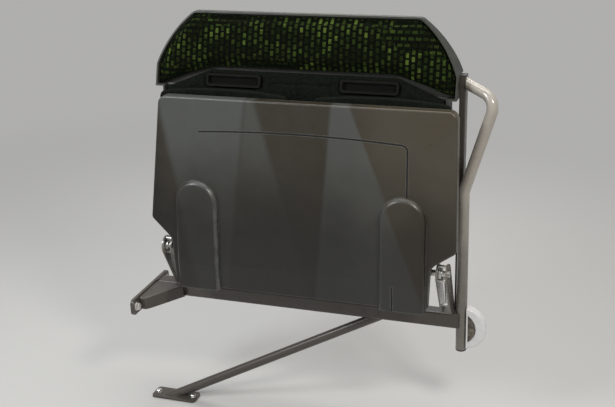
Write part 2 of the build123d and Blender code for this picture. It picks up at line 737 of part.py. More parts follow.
# What the recess takes away: the upper field, and the lower field up to the bend
with BuildPart() as upper_recess:
    with BuildSketch(Plane.YZ.offset(back_left)):
        with BuildLine():
            Polyline(*slice_between(lambda z: -80, pad_floor, BACK_BEND_Z - 6, BACK_TOP_Z), close=True)
        make_face()
    extrude(amount=back_span)
    extrude(back_outline(below_step, BACK_RIM), amount=-TRIM, mode=Mode.INTERSECT)

with BuildPart() as lower_recess:
    with BuildSketch(Plane.YZ.offset(BACK_X - low_inner)):
        with BuildLine():
            Polyline(
                (-80, LOW_PAD_LOW_Z),
                (-80, BACK_BEND_Z + BACK_RIM + 1),
                (back_front(BACK_BEND_Z) + LOW_PAD_DEPTH + 2, BACK_BEND_Z + BACK_RIM + 1),
                (back_front(BACK_BEND_Z) + LOW_PAD_DEPTH, BACK_BEND_Z),
                (back_front(LOW_PAD_LOW_Z) + LOW_PAD_DEPTH, LOW_PAD_LOW_Z),
                close=True,
            )
        make_face()
    extrude(amount=2 * low_inner)

# What is hollow behind the skin
with BuildPart() as upper_hollow:
    with BuildSketch(Plane.YZ.offset(back_left)):
        with BuildLine():
            Polyline(
                *slice_between(
                    lambda z: pad_floor(z) + BACK_SKIN, lambda z: 200, BACK_BEND_Z + BACK_RIM, BACK_TOP_Z
                ),
                close=True,
            )
        make_face()
    extrude(amount=back_span)
    extrude(back_outline(below_step, BACK_RIM), amount=-TRIM, mode=Mode.INTERSECT)

with BuildPart() as lower_hollow:
    with BuildSketch(Plane.YZ.offset(BACK_X - low_inner)):
        with BuildLine():
            Polyline(
                *slice_between(
                    lambda z: back_front(z) + LOW_PAD_DEPTH + BACK_SKIN,
                    lambda z: 200,
                    BACK_LOW_Z + BACK_RIM,
                    BACK_BEND_Z - BACK_RIM,
                ),
                close=True,
            )
        make_face()
    extrude(amount=2 * low_inner)

with BuildPart() as back_shell:
    with BuildSketch(Plane.YZ.offset(back_left)):
        with BuildLine():
            Polyline(
                (BACK_BEND_Y, BACK_BEND_Z),
                (BACK_TOP_Y + 4, BACK_TOP_Z),
                (BACK_TOP_Y + PAD_TOP_DEPTH + BACK_SKIN, BACK_TOP_Z),
                (rail_y - 1, BAR_TOP + 30),
                (rail_y - 1, BACK_BEND_Z),
                close=True,
            )
        make_face()
    extrude(amount=back_span)
    extrude(back_outline(below_step, 0), amount=-TRIM, mode=Mode.INTERSECT)
    with BuildSketch(Plane.YZ.offset(BACK_X - half_low)):
        with BuildLine():
            Polyline(
                (BACK_LOW_Y, BACK_LOW_Z),
                (BACK_BEND_Y, BACK_BEND_Z),
                (BACK_REAR_Y, BACK_BEND_Z),
                (BACK_REAR_Y, BACK_LOW_Z),
                close=True,
            )
        make_face()
    extrude(amount=BACK_LOW_WIDTH)
    add(upper_hollow.part, mode=Mode.SUBTRACT)
    add(lower_hollow.part, mode=Mode.SUBTRACT)
    add(upper_recess.part, mode=Mode.SUBTRACT)
    add(lower_recess.part, mode=Mode.SUBTRACT)
    rib_low, rib_high = BACK_LOW_Z + 1, BACK_BEND_Z - BACK_RIM + 1
    rib_rear = BACK_REAR_Y - RIB_SET_BACK
    for offset_x in RIB_OFFSETS:
        with BuildSketch(Plane.YZ.offset(BACK_X + offset_x - RIB_T / 2)):
            with BuildLine():
                Polyline(
                    *slice_between(
                        lambda z: back_front(z) + LOW_PAD_DEPTH + 1,
                        lambda z: rib_rear,
                        rib_low,
                        rib_high,
                    ),
                    close=True,
                )
            make_face()
        extrude(amount=RIB_T)
    for z in RIB_HEIGHTS:
        rib_front = back_front(z) + LOW_PAD_DEPTH + 2
        with Locations((BACK_X, (rib_front + rib_rear) / 2, z)):
            Box(BACK_LOW_WIDTH - 2, rib_rear - rib_front, RIB_T)
    for sign in (-1, 1):
        channel_z = (BACK_BEND_Z + BAR_TOP) / 2
        with Locations((BAR_CENTRE_X + sign * BAR_OFFSET, bar_y(channel_z) + 10, channel_z + 2)):
            Box(BAR_X + 3, BAR_Y + 26, BAR_TOP - BACK_BEND_Z + 8, mode=Mode.SUBTRACT)
    with BuildSketch(Plane.XZ.offset(-rail_y + 0.2)):
        with Locations((BACK_X - ARM_OFFSET, RAIL_Z), (BACK_X + ARM_OFFSET, RAIL_Z)):
            Circle(10)
    extrude(amount=rail_y - pad_floor(RAIL_Z + 10) - 1)
    with BuildSketch(Plane.XZ.offset(-rail_y)):
        with Locations((BACK_X - ARM_OFFSET, RAIL_Z), (BACK_X + ARM_OFFSET, RAIL_Z)):
            Circle(3)
    extrude(amount=18, mode=Mode.SUBTRACT)
write(back_shell.part, "back_shell")

# The upper pad, arched below, and the lower pad that fills the rest of the recess
with BuildPart() as back_pad:
    with BuildSketch(Plane.YZ.offset(back_left)):
        with BuildLine():
            Polyline(
                *slice_between(back_front, lambda z: pad_floor(z) - SOFT_GAP, BACK_BEND_Z, BACK_TOP_Z),
                close=True,
            )
        make_face()
    extrude(amount=back_span)
    extrude(back_outline(below_arch, BACK_RIM + SOFT_GAP), amount=-TRIM, mode=Mode.INTERSECT)
write(back_pad.part, "back_pad")

low_top = ARCH_Z + BACK_RIM - PAD_SEAM
low_half = low_inner - SOFT_GAP
low_bend = BACK_BEND_Z + BACK_RIM - PAD_SEAM
insert_y = back_front(INSERT_Z) + LOW_PAD_DEPTH
with BuildPart() as back_pad_lower:
    with BuildSketch(Plane.YZ.offset(back_left)):
        with BuildLine():
            Polyline(
                (back_front(LOW_PAD_LOW_Z), LOW_PAD_LOW_Z + SOFT_GAP),
                (BACK_BEND_Y, BACK_BEND_Z),
                (back_front(low_top), low_top),
                (back_front(low_top) + LOW_PAD_DEPTH - SOFT_GAP, low_top),
                (BACK_BEND_Y + LOW_PAD_DEPTH - SOFT_GAP, BACK_BEND_Z),
                (back_front(LOW_PAD_LOW_Z) + LOW_PAD_DEPTH - SOFT_GAP, LOW_PAD_LOW_Z + SOFT_GAP),
                close=True,
            )
        make_face()
    extrude(amount=back_span)
    with BuildSketch(Plane.XZ.offset(TRIM / 2)):
        with BuildLine():
            Polyline(
                (BACK_X - low_half, LOW_PAD_LOW_Z),
                (BACK_X - low_half, low_bend - 2),
                (BACK_X - ARCH_HALF_WIDTH - 8, low_top),
                (BACK_X + ARCH_HALF_WIDTH + 8, low_top),
                (BACK_X + low_half, low_bend - 2),
                (BACK_X + low_half, LOW_PAD_LOW_Z),
                close=True,
            )
        make_face()
        with Locations((BACK_X - INSERT_OFFSET, INSERT_Z), (BACK_X + INSERT_OFFSET, INSERT_Z)):
            RectangleRounded(
                INSERT_WIDTH + 2 * SOFT_GAP,
                INSERT_HEIGHT + 2 * SOFT_GAP,
                INSERT_R + SOFT_GAP,
                mode=Mode.SUBTRACT,
            )
    extrude(amount=-TRIM, mode=Mode.INTERSECT)
write(back_pad_lower.part, "back_pad_lower")

for side, sign in (("left", -1), ("right", 1)):
    with BuildPart() as back_insert:
        with BuildSketch(Plane.YZ.offset(back_left)):
            with BuildLine():
                Polyline(
                    *slice_between(
                        lambda z: back_front(z) - 1,
                        lambda z: pad_floor(z) - 0.1,
                        INSERT_Z - INSERT_HEIGHT / 2 - 1,
                        INSERT_Z + INSERT_HEIGHT / 2 + 1,
                    ),
                    close=True,
                )
            make_face()
        extrude(amount=back_span)
        with BuildSketch(Plane.XZ.offset(TRIM / 2)):
            with Locations((BACK_X + sign * INSERT_OFFSET, INSERT_Z)):
                RectangleRounded(INSERT_WIDTH, INSERT_HEIGHT, INSERT_R)
        extrude(amount=-TRIM, mode=Mode.INTERSECT)
        with BuildSketch(Plane.XZ.offset(TRIM / 2)):
            with Locations((BACK_X + sign * INSERT_OFFSET, INSERT_Z)):
                RectangleRounded(INSERT_WIDTH - 12, INSERT_HEIGHT - 10, 5)
        extrude(amount=-TRIM / 2 - (back_front(INSERT_Z) + 8), mode=Mode.SUBTRACT)
    write(back_insert.part, f"back_insert_{side}")
    with BuildPart() as back_screw:
        with BuildSketch(Plane.XZ.offset(-rail_y - RAIL_T - 3.5)):
            with Locations((BACK_X + sign * ARM_OFFSET, RAIL_Z)):
                Circle(6.5)
        extrude(amount=3.5)
        with BuildSketch(Plane.XZ.offset(-rail_y - RAIL_T)):
            with Locations((BACK_X + sign * ARM_OFFSET, RAIL_Z)):
                Circle(2.9)
        extrude(amount=RAIL_T + 15)
    write(back_screw.part, f"back_screw_{side}")
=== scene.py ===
"""Looks of a double tip-up bus seat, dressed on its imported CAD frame.

Metres. X runs from the wall into the aisle, Y from the seat's front to its back, Z up.
"""

from math import atan2, cos, pi, radians, sin

import bmesh
import bpy
import numpy as np
from mathutils import Matrix, Vector
from mathutils.bvhtree import BVHTree


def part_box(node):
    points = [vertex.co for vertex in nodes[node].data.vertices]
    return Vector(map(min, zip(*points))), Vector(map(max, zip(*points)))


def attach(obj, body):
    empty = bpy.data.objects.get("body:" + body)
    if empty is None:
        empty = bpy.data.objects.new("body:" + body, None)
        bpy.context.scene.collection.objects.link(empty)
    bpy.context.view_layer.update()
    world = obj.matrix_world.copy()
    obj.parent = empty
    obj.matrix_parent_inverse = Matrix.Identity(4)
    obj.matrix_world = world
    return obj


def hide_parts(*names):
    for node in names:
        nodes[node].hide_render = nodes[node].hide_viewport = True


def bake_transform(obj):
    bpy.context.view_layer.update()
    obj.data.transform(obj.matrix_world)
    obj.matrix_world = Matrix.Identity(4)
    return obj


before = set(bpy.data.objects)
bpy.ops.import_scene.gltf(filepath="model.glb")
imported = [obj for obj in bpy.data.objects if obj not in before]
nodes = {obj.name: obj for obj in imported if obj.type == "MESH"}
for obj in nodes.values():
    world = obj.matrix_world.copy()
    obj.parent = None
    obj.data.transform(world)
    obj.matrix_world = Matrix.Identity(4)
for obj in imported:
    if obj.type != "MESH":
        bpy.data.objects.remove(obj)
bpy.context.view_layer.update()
scene = bpy.context.scene

# Sizes that the CAD part has too
FLOOR_Z = -0.296
FLANGE_T = 0.008
WALL_BOLTS_Y = (-0.148, 0.034)
BEAM = 0.040
TUBE_X = 0.856
TUBE_R = 0.014
FOOT_X, FOOT_Y, FOOT_TOP = 0.075, -0.092, -0.290
FOOT_BOLT_SPACING = 0.104
STRUT_TOP_X = 0.636
STRUT_R = 0.0125
HINGE_Y, HINGE_Z = -0.062, 0.150
ANCHOR_Y, ANCHOR_Z = -0.015, 0.042
LEVER_LENGTH, LEVER_ANGLE = 0.032, radians(-42)
SPRING_R = 0.0055
SPRING_WIRE_R = 0.0009
SPRING_COILS = 22
PIN_R = 0.003
CAP_CENTRE = (0.850, 0.0, -0.020)
BELLY_Y, BELLY_Z = -0.105, 0.130
PAN_LEAN = 0.030 / 0.435
SLOT_X, SLOT_TOP_Z = 0.704, 0.126
BACK_MIDDLE_X = 0.443
UP_LEAN = atan2(0.052, 0.186)  # the backrest's front above its bend
LOW_LEAN = atan2(0.032, 0.374)  # and below it, where the cushions lie along it


# Materials
def rgba(colour, factor=1.0):
    return (*[min(1, c * factor) for c in colour], 1)


class Shading:
    """A Principled material, with short calls for its nodes."""

    def __init__(self, name, **sockets):
        self.material = bpy.data.materials.new(name)
        self.material.use_nodes = True
        self.tree = self.material.node_tree
        self.shader = self.tree.nodes["Principled BSDF"]
        for key, value in sockets.items():
            self.shader.inputs[key.replace("_", " ")].default_value = value

    def node(self, kind, inputs=None, out=0, **settings):
        made = self.tree.nodes.new("ShaderNode" + kind)
        for key, value in settings.items():
            setattr(made, key, value)
        for key, value in (inputs or {}).items():
            if isinstance(value, bpy.types.NodeSocket):
                self.tree.links.new(value, made.inputs[key])
            else:
                made.inputs[key].default_value = value
        return made.outputs[out]

    def to_shader(self, socket, value):
        self.tree.links.new(value, self.shader.inputs[socket])

    def point(self):
        return self.node("TexCoord", out="Object")

    def parts(self, vector):
        """The vector's x, y and z."""
        return tuple(self.node("SeparateXYZ", {0: vector}).node.outputs)

    def length(self, vector):
        return self.node("VectorMath", {0: vector}, out=1, operation="LENGTH")

    def scaled(self, colour, factor):
        return self.node("VectorMath", {0: colour, 3: factor}, operation="SCALE")

    def math(self, operation, a, b=0.0, clamp=False):
        return self.node("Math", {0: a, 1: b}, operation=operation, use_clamp=clamp)

    def product(self, *values):
        total = values[0]
        for value in values[1:]:
            total = self.math("MULTIPLY", total, value)
        return total

    def noise(self, point, scale, detail=2.0, roughness=0.5):
        inputs = {"Vector": point, "Scale": scale, "Detail": detail, "Roughness": roughness}
        return self.node("TexNoise", inputs)

    def between(self, value, low, high, out_low=0.0, out_high=1.0, smooth=True):
        """value's place between low and high, as a number from out_low to out_high."""
        kind = "SMOOTHSTEP" if smooth else "LINEAR"
        inputs = {0: value, 1: low, 2: high, 3: out_low, 4: out_high}
        return self.node("MapRange", inputs, interpolation_type=kind)

    def mix(self, factor, a, b):
        return self.node("Mix", {0: factor, 6: a, 7: b}, out=2, data_type="RGBA")

    def steps(self, value, *stops):
        """The colour of the last stop that value has reached."""
        out = self.node("ValToRGB", {0: value})
        ramp = out.node.color_ramp
        ramp.interpolation = "CONSTANT"
        while len(ramp.elements) < len(stops):
            ramp.elements.new(0.5)
        for element, (place, colour) in zip(ramp.elements, stops):
            element.position = place
            element.color = rgba(colour)
        return out

    def bump(self, height, strength, distance):
        inputs = {"Height": height, "Strength": strength, "Distance": distance}
        self.to_shader("Normal", self.node("Bump", inputs))

    def edges(self, radius):
        """1 on sharp edges, 0 on flat faces."""
        rounded = self.node("Bevel", {"Radius": radius}, samples=4)
        sharp = self.node("NewGeometry", out="Normal")
        same = self.node("VectorMath", {0: rounded, 1: sharp}, out=1, operation="DOT_PRODUCT")
        return self.between(same, 0.995, 0.93)


DIRT_TINT = (0.42, 0.38, 0.34)  # of the paint's own colour
PAINT_SHADE_Z = (0.05, 0.42)  # painted shade, from the beam up to hand height


def painted_steel(name, colour, grime, roughness=0.36, coat=0.15, low=1.0):
    """Satin powder coat: orange peel, faint mottling, grime and rubbed edges.

    low is how much colour the paint keeps near the beam, against 1 at hand height: painted shade.
    """
    s = Shading(name, Specular_IOR_Level=0.5, Coat_Weight=coat, Coat_Roughness=0.12)
    p = s.point()
    mottle = s.between(s.noise(p, 9, 4), 0.3, 0.7)
    base = s.mix(mottle, rgba(colour, 0.93), rgba(colour))
    dirt = s.between(s.noise(p, 34, 6, 0.65), 0.52, 0.78, 0, grime)
    base = s.mix(dirt, base, rgba([c * tint for c, tint in zip(colour, DIRT_TINT)]))
    wear = s.product(s.edges(0.0016), s.between(s.noise(p, 120, 4), 0.42, 0.62))
    base = s.mix(wear, base, rgba(colour, 1.35))
    # painted shade: darker towards the bottom
    if low < 1:
        _, _, height = s.parts(p)
        uneven = s.math("ADD", height, s.between(s.noise(p, 14, 3), 0.3, 0.7, -0.04, 0.04))
        base = s.scaled(base, s.between(uneven, *PAINT_SHADE_Z, low, 1.0))
    s.to_shader("Base Color", base)
    dull = s.between(s.noise(p, 60, 3), 0.3, 0.7, roughness - 0.06, roughness + 0.1)
    s.to_shader("Roughness", dull)
    s.bump(s.noise(p, 700, 2), 0.10, 0.0005)
    return s.material


BOSS_HIGHLIGHT = (0.150, 0.150, 0.143)  # painted highlight on the bosses' arches
GROOVE_SHADE = (0.008, 0.007, 0.006)  # painted shade in the groove and the slot


def moulded_plastic(name, warm, cool, roughness=0.42, grain=0.3, gloss=0.45, with_painted_light=False):
    """Satin moulding: fine leather grain, scuffs, and pale rubbed edges, partly painted
    highlights.

    The pan also has painted light: long soft stripes of it and a paler right part; painted shade
    at its left edge, low down and in its groove and slot; and painted highlights on its bosses.
    """
    s = Shading(name, Specular_IOR_Level=gloss, Coat_Weight=gloss * 0.2, Coat_Roughness=0.25)
    p = s.point()
    tone = s.between(s.noise(p, 5, 3), 0.35, 0.65, 0, 0.5)
    # painted light in long soft stripes, for the pan
    if with_painted_light:
        tone = s.math("ADD", light_bands(s, p), s.product(tone, 0.2), clamp=True)
    base = s.mix(tone, rgba(warm), rgba(cool))
    if with_painted_light:
        base = painted_light_and_shade(s, p, base, tone)
    # rubbed edges, paler; on rims they partly stand as a painted highlight
    wear = s.product(s.edges(0.004), s.between(s.noise(p, 60, 4), 0.25, 0.6, 0.25, 0.9))
    base = s.mix(wear, base, rgba(cool, 1.7))
    stretched = s.node("Mapping", {"Vector": p, "Scale": (60, 40, 6)})
    scuff = s.between(s.noise(stretched, 3, 5, 0.7), 0.58, 0.76, 1.0, 1.14)
    base = s.scaled(base, scuff)
    # painted highlights on the bosses and painted shade in the groove and slot
    if with_painted_light:
        base = s.mix(s.product(boss_highlights(s, p), 0.6), base, rgba(BOSS_HIGHLIGHT))
        base = s.mix(sunk_lines(s, p), base, rgba(GROOVE_SHADE))
    s.to_shader("Base Color", base)
    dull = s.between(s.noise(p, 24, 4), 0.3, 0.7, roughness - 0.05, roughness + 0.09)
    s.to_shader("Roughness", dull)
    cells = s.node("TexVoronoi", {"Vector": p, "Scale": 620.0}, feature="SMOOTH_F1")
    fine = s.noise(p, 1500, 2)
    s.bump(s.math("ADD", s.product(cells, 0.7), s.product(fine, 0.5)), grain, 0.0005)
    return s.material


LIGHT_BANDS_Z = (0.565, 0.06)  # the pan's top and bottom
LIGHT_BANDS = (
    (0.080, 0.185, 0.322, 0.262, 0.012, 0.95, 0.42),
    (0.322, 0.262, 0.344, 0.490, 0.010, 0.62, 0.10),
    (0.545, 0.500, 0.590, 0.790, 0.006, 0.80, 0.50),
)


def light_bands(s, p):
    """Long slanted stripes of painted light down the pan, in its cooler tone.

    Each row of LIGHT_BANDS has x at the pan's top and at its bottom for the band's left edge, then
    for its right edge, how soft its edges are, and its strength at the top and at the bottom.
    """
    x, _, z = s.parts(p)
    down = s.between(z, *LIGHT_BANDS_Z, smooth=False)
    total = None
    for left_top, left_low, right_top, right_low, soft, strong, weak in LIGHT_BANDS:
        left = s.between(down, 0, 1, left_top, left_low, smooth=False)
        right = s.between(down, 0, 1, right_top, right_low, smooth=False)
        inside_left = s.between(s.math("SUBTRACT", x, left), -soft, soft)
        inside_right = s.between(s.math("SUBTRACT", right, x), -soft, soft)
        strength = s.between(down, 0.1, 0.6, strong, weak)
        band = s.product(inside_left, inside_right, strength)
        total = band if total is None else s.math("MAXIMUM", total, band)
    return total


# Where the pan's painted light and shade lie
PAN_LIGHT_X = (0.54, 0.70)
PAN_SHADE_Z = (0.47, 0.20)
LEFT_EDGE_X = (0.046, 0.110)


def painted_light_and_shade(s, p, base, tone):
    """The pan's painted light and shade: paler to the right, darker at its left edge and low down.
    """
    x, _, z = s.parts(p)
    plain = s.math("SUBTRACT", 1.0, tone, clamp=True)
    pale = s.product(s.between(x, *PAN_LIGHT_X, 0.0, 1.05), plain)
    uneven = s.math("ADD", z, s.between(s.noise(p, 7, 3), 0.3, 0.7, -0.03, 0.03))
    dull = s.between(uneven, *PAN_SHADE_Z, 1.0, 0.33)
    shaded = s.between(x, *LEFT_EDGE_X, 0.45, 1.0)
    return s.scaled(base, s.product(s.math("ADD", 1.0, pale), dull, shaded))


def below_face(s, p):
    """x, z and the depth behind the pan's lower face, below 0 on the bosses."""
    x, y, z = s.parts(p)
    above = s.math("MAXIMUM", s.math("SUBTRACT", z, BELLY_Z), 0.0)
    face = s.math("ADD", s.product(above, PAN_LEAN), BELLY_Y)
    return x, z, s.math("SUBTRACT", y, face)


# Depths on a boss, which stands 16 mm proud of the face
SHOULDER_START, SHOULDER_END = (-0.0020, -0.0060), (-0.0161, -0.0135)
INNER_X = (0.30, 0.50)


def boss_highlights(s, p):
    """Up to 1 on the bosses' rounded arches and the left one's inner flank, for a painted
    highlight.
    """
    x, _, depth = below_face(s, p)
    off_face = s.between(depth, *SHOULDER_START)
    off_top = s.between(depth, *SHOULDER_END)
    normal_x, _, normal_z = s.parts(s.node("NewGeometry", out="Normal"))
    inner = s.product(normal_x, s.between(x, *INNER_X, 0.75, 0.0))
    turned_up = s.math("ADD", s.product(normal_z, 0.75), inner)
    uneven = s.between(s.noise(p, 45, 3), 0.3, 0.6, 0.45, 1.0)
    return s.product(off_face, off_top, s.between(turned_up, 0.20, 0.70), uneven)


GROOVE_X, GROOVE_Z, GROOVE_DEPTH = (0.150, 0.790), (0.334, 0.492), (0.0004, 0.0026)
SLOT_HALF_W = 0.0022
SLOT_Z, SLOT_DEPTH = (0.058, SLOT_TOP_Z + 0.0002), (-0.0157, -0.010)


def sunk_lines(s, p):
    """1 in the pan's groove and in the slot of its right boss, where shade is painted."""
    x, z, depth = below_face(s, p)

    def inside(*limits):
        """1 where each value lies between its low and its high."""
        tests = []
        for value, (low, high) in limits:
            tests += [s.math("GREATER_THAN", value, low), s.math("LESS_THAN", value, high)]
        return s.product(*tests)

    slot_x = (SLOT_X - SLOT_HALF_W, SLOT_X + SLOT_HALF_W)
    groove = inside((x, GROOVE_X), (z, GROOVE_Z), (depth, GROOVE_DEPTH))
    slot = inside((x, slot_x), (z, SLOT_Z), (depth, SLOT_DEPTH))
    return s.math("MAXIMUM", groove, slot)


CAP_SUNK_R, CAP_SUNK_Y, CAP_BLUR = 0.0450, 0.0123, 0.0005


def crescent_plastic(name, colour, shade):
    """White moulding whose sunk middle is painted a shaded beige, with blotches."""
    s = Shading(name, Specular_IOR_Level=0.5, Roughness=0.3, Coat_Weight=0.1)
    p = s.point()
    _, y, _ = s.parts(p)
    offset = s.node("VectorMath", {0: p, 1: CAP_CENTRE}, operation="SUBTRACT")
    radius = s.length(s.node("VectorMath", {0: offset, 1: (1, 0, 1)}, operation="MULTIPLY"))
    # the cap's recess, where shade is painted
    sunk = s.product(
        s.between(radius, CAP_SUNK_R + CAP_BLUR, CAP_SUNK_R - CAP_BLUR),
        s.between(y, -CAP_SUNK_Y - CAP_BLUR, -CAP_SUNK_Y + CAP_BLUR),
        s.between(y, CAP_SUNK_Y + CAP_BLUR, CAP_SUNK_Y - CAP_BLUR),
    )
    dirt = s.between(s.noise(p, 70, 5, 0.65), 0.35, 0.7, 0.0, 0.25)
    clean = s.mix(dirt, rgba(colour), rgba(colour, 0.72))
    blotch = s.between(s.noise(p, 110, 4), 0.35, 0.65)
    deep = s.mix(blotch, rgba(shade, 0.6), rgba(shade, 1.7))
    s.to_shader("Base Color", s.mix(sunk, clean, deep))
    s.bump(s.noise(p, 900, 2), 0.1, 0.0003)
    return s.material


def zinc_plate(name):
    """Bright zinc plating with a brushed streak and faint dulling."""
    s = Shading(name, Metallic=1.0, Anisotropic=0.3)
    p = s.point()
    tint = s.between(s.noise(p, 80, 4), 0.35, 0.65)
    s.to_shader("Base Color", s.mix(tint, (0.60, 0.60, 0.58, 1), (0.78, 0.77, 0.73, 1)))
    streak = s.noise(s.node("Mapping", {"Vector": p, "Scale": (40, 900, 900)}), 1, 3)
    s.to_shader("Roughness", s.between(streak, 0.3, 0.7, 0.22, 0.42))
    s.bump(streak, 0.12, 0.0003)
    return s.material


DASH_PITCH = 0.0150
UPRIGHT_DASH, LEVEL_DASH = 0.0165, 0.0180
FINE_PITCH, FINE_DASH = 0.0042, 0.0056
LOOP_U, LOOP_V = 0.0015, 0.0012
DARK_GROUND, PALE_GROUND = (0.0018, 0.0028, 0.0013), (0.0056, 0.0095, 0.0034)
GREENS = (
    (0.0, (0.0046, 0.0086, 0.0022)),
    (0.18, (0.0100, 0.0170, 0.0038)),
    (0.42, (0.0185, 0.0310, 0.0062)),
    (0.66, (0.0340, 0.0550, 0.0100)),
    (0.86, (0.0700, 0.1080, 0.0190)),
)


def dashes(s, across, along, pitch, length, wide, long):
    """A number for each dash of a weave, and 1 inside it.

    Rows step by half a length from column to column. wide and long are the shares of pitch and
    length that a dash fills.
    """
    column = s.math("DIVIDE", across, pitch)
    column_id = s.math("FLOOR", column)
    shift = s.node("TexWhiteNoise", {"W": column_id}, noise_dimensions="1D")
    step = s.math("ADD", s.product(column_id, 0.5), s.product(shift, 0.22))
    place = s.math("ADD", s.math("DIVIDE", along, length), step)
    pair = s.node("CombineXYZ", {0: column_id, 1: s.math("FLOOR", place), 2: 0.0})
    value = s.node("TexWhiteNoise", {0: pair}, noise_dimensions="3D")
    side = s.math("PINGPONG", column, 0.5)
    end = s.math("PINGPONG", place, 0.5)
    edge_side, edge_end = (1 - wide) / 2, (1 - long) / 2
    inside = s.between(side, edge_side - 0.06, edge_side + 0.06)
    return value, s.product(inside, s.between(end, edge_end - 0.05, edge_end + 0.05))


def moquette(name):
    """Cut-pile weave of short upright and level dashes in greens on black, like mown grass."""
    s = Shading(
        name,
        Specular_IOR_Level=0.05,
        Sheen_Weight=0.02,
        Sheen_Roughness=0.45,
        Sheen_Tint=(0.62, 0.72, 0.4, 1),
        Roughness=0.9,
    )
    weave = s.node("Attribute", out="Vector", attribute_name="weave")
    u, v, _ = s.parts(weave)
    upright, upright_mask = dashes(s, u, v, DASH_PITCH, UPRIGHT_DASH, 0.50, 0.70)
    level, level_mask = dashes(s, v, u, DASH_PITCH, LEVEL_DASH, 0.46, 0.72)
    lean = s.between(s.noise(weave, 6.5, 2), 0.44, 0.46)
    value = s.node("Mix", {0: lean, 2: level, 3: upright})
    mask = s.node("Mix", {0: lean, 2: level_mask, 3: upright_mask})
    patch = s.between(s.noise(weave, 13.0, 4, 0.6), 0.36, 0.68, -0.36, 0.34)
    value = s.math("ADD", s.product(value, 0.62), s.math("ADD", patch, 0.2), clamp=True)
    fine, fine_mask = dashes(s, v, u, FINE_PITCH, FINE_DASH, 0.6, 0.7)
    ground = s.product(s.between(fine, 0.62, 0.9), fine_mask)
    dark = s.mix(ground, rgba(DARK_GROUND), rgba(PALE_GROUND))
    fleck = s.between(s.noise(weave, 900, 2), 0.35, 0.65, 0.72, 1.18)
    s.to_shader("Base Color", s.scaled(s.mix(mask, dark, s.steps(value, *GREENS)), fleck))
    loops_u = s.math("SINE", s.product(u, 2 * pi / LOOP_U))
    loops_v = s.math("SINE", s.product(v, 2 * pi / LOOP_V))
    loops = s.product(loops_u, loops_v)
    pile = s.math("ADD", s.product(mask, 0.8), s.product(loops, 0.35))
    s.bump(s.math("ADD", pile, s.product(s.noise(weave, 2200, 2), 0.5)), 0.55, 0.0007)
    return s.material


def plain_cloth(name, colour, thread_pitch):
    """Flat woven cloth: crossing threads, and lint that catches the light."""
    s = Shading(name, Roughness=0.92, Specular_IOR_Level=0.05, Sheen_Weight=0.015)
    p = s.point()
    x, _, z = s.parts(p)
    warp = s.math("SINE", s.product(x, 2 * pi / thread_pitch))
    weft = s.math("SINE", s.product(z, 2 * pi / thread_pitch))
    threads = s.product(warp, weft)
    tint = s.between(s.noise(p, 140, 4, 0.6), 0.3, 0.7)
    base = s.mix(tint, rgba(colour, 0.7), rgba(colour, 1.3))
    lint = s.between(s.noise(p, 420, 2), 0.68, 0.76, 0, 0.5)
    s.to_shader("Base Color", s.mix(lint, base, rgba(colour, 3.2)))
    s.bump(s.math("ADD", s.product(threads, 0.6), s.noise(p, 1800, 2)), 0.5, 0.0005)
    return s.material


# The tube's paint made far darker for the frame under the seat: partly dirt, partly painted shade
dirt_and_shade_paint = painted_steel("dirt_and_shade_paint", (0.068, 0.058, 0.049), grime=0.6)
# low darkens the tube towards the beam as painted shade
tube_paint = painted_steel(
    "tube_paint", (0.390, 0.358, 0.312), grime=0.35, roughness=0.18, coat=0.6, low=0.42
)
panel_plastic = moulded_plastic(
    "panel_plastic",
    warm=(0.0275, 0.0220, 0.0135),
    cool=(0.071, 0.074, 0.069),
    roughness=0.32,
    grain=0.16,
    gloss=0.5,
    with_painted_light=True,
)
shell_plastic = moulded_plastic(
    "shell_plastic",
    warm=(0.026, 0.027, 0.021),
    cool=(0.038, 0.040, 0.032),
    roughness=0.46,
    gloss=0.30,
)
black_plastic = moulded_plastic(
    "black_plastic",
    warm=(0.016, 0.016, 0.017),
    cool=(0.026, 0.026, 0.028),
    roughness=0.5,
    grain=0.35,
)
# Nearly black: the inserts' darkness is painted shade under the back pad
shadow_black_plastic = moulded_plastic(
    "shadow_black_plastic",
    warm=(0.004, 0.004, 0.004),
    cool=(0.007, 0.007, 0.006),
    roughness=0.7,
    gloss=0.10,
)
cap_plastic = crescent_plastic("cap_plastic", (0.76, 0.76, 0.755), shade=(0.13, 0.11, 0.09))
zinc = zinc_plate("zinc")
fabric = moquette("seat_moquette")
# Nearly black; on the lower back pad its darkness partly stands as painted shade behind the pan
border_cloth = plain_cloth("border_cloth", (0.0062, 0.0074, 0.0056), thread_pitch=0.0016)
welt_cloth = plain_cloth("welt_cloth", (0.012, 0.015, 0.009), thread_pitch=0.0012)

NODE_MATERIALS = {
    dirt_and_shade_paint: (
        "cross_beam wall_flange back_rail support_strut strut_foot pan_arm_left pan_arm_right"
        " upright_left upright_right"
    ),
    tube_paint: "grab_tube hinge_bracket_left hinge_bracket_right",
    panel_plastic: "seat_pan",
    shell_plastic: "back_shell",
    black_plastic: "upright_plug_left upright_plug_right foot_plug",
    shadow_black_plastic: "back_insert_left back_insert_right",
    cap_plastic: "end_cap",
    zinc: (
        "up_stop_left up_stop_right down_stop_left down_stop_right pivot_shaft"
        " spring_anchor_left spring_anchor_right return_spring_left return_spring_right"
        " spring_lever_left spring_lever_right lever_pin_left lever_pin_right"
        " back_screw_left back_screw_right"
    ),
    fabric: "back_pad back_pad_lower seat_cushion_left seat_cushion_right",
}
for material, names in NODE_MATERIALS.items():
    for name in names.split():
        data = nodes[name].data
        data.materials.clear()
        data.materials.append(material)


# Helpers
def new_object(name, data, material):
    made = bpy.data.objects.new(name, data)
    scene.collection.objects.link(made)
    data.materials.clear()
    data.materials.append(material)
    return made


def finish_piece(piece, body, slot, *replaced):
    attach(piece, body)
    if replaced:
        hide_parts(*replaced)


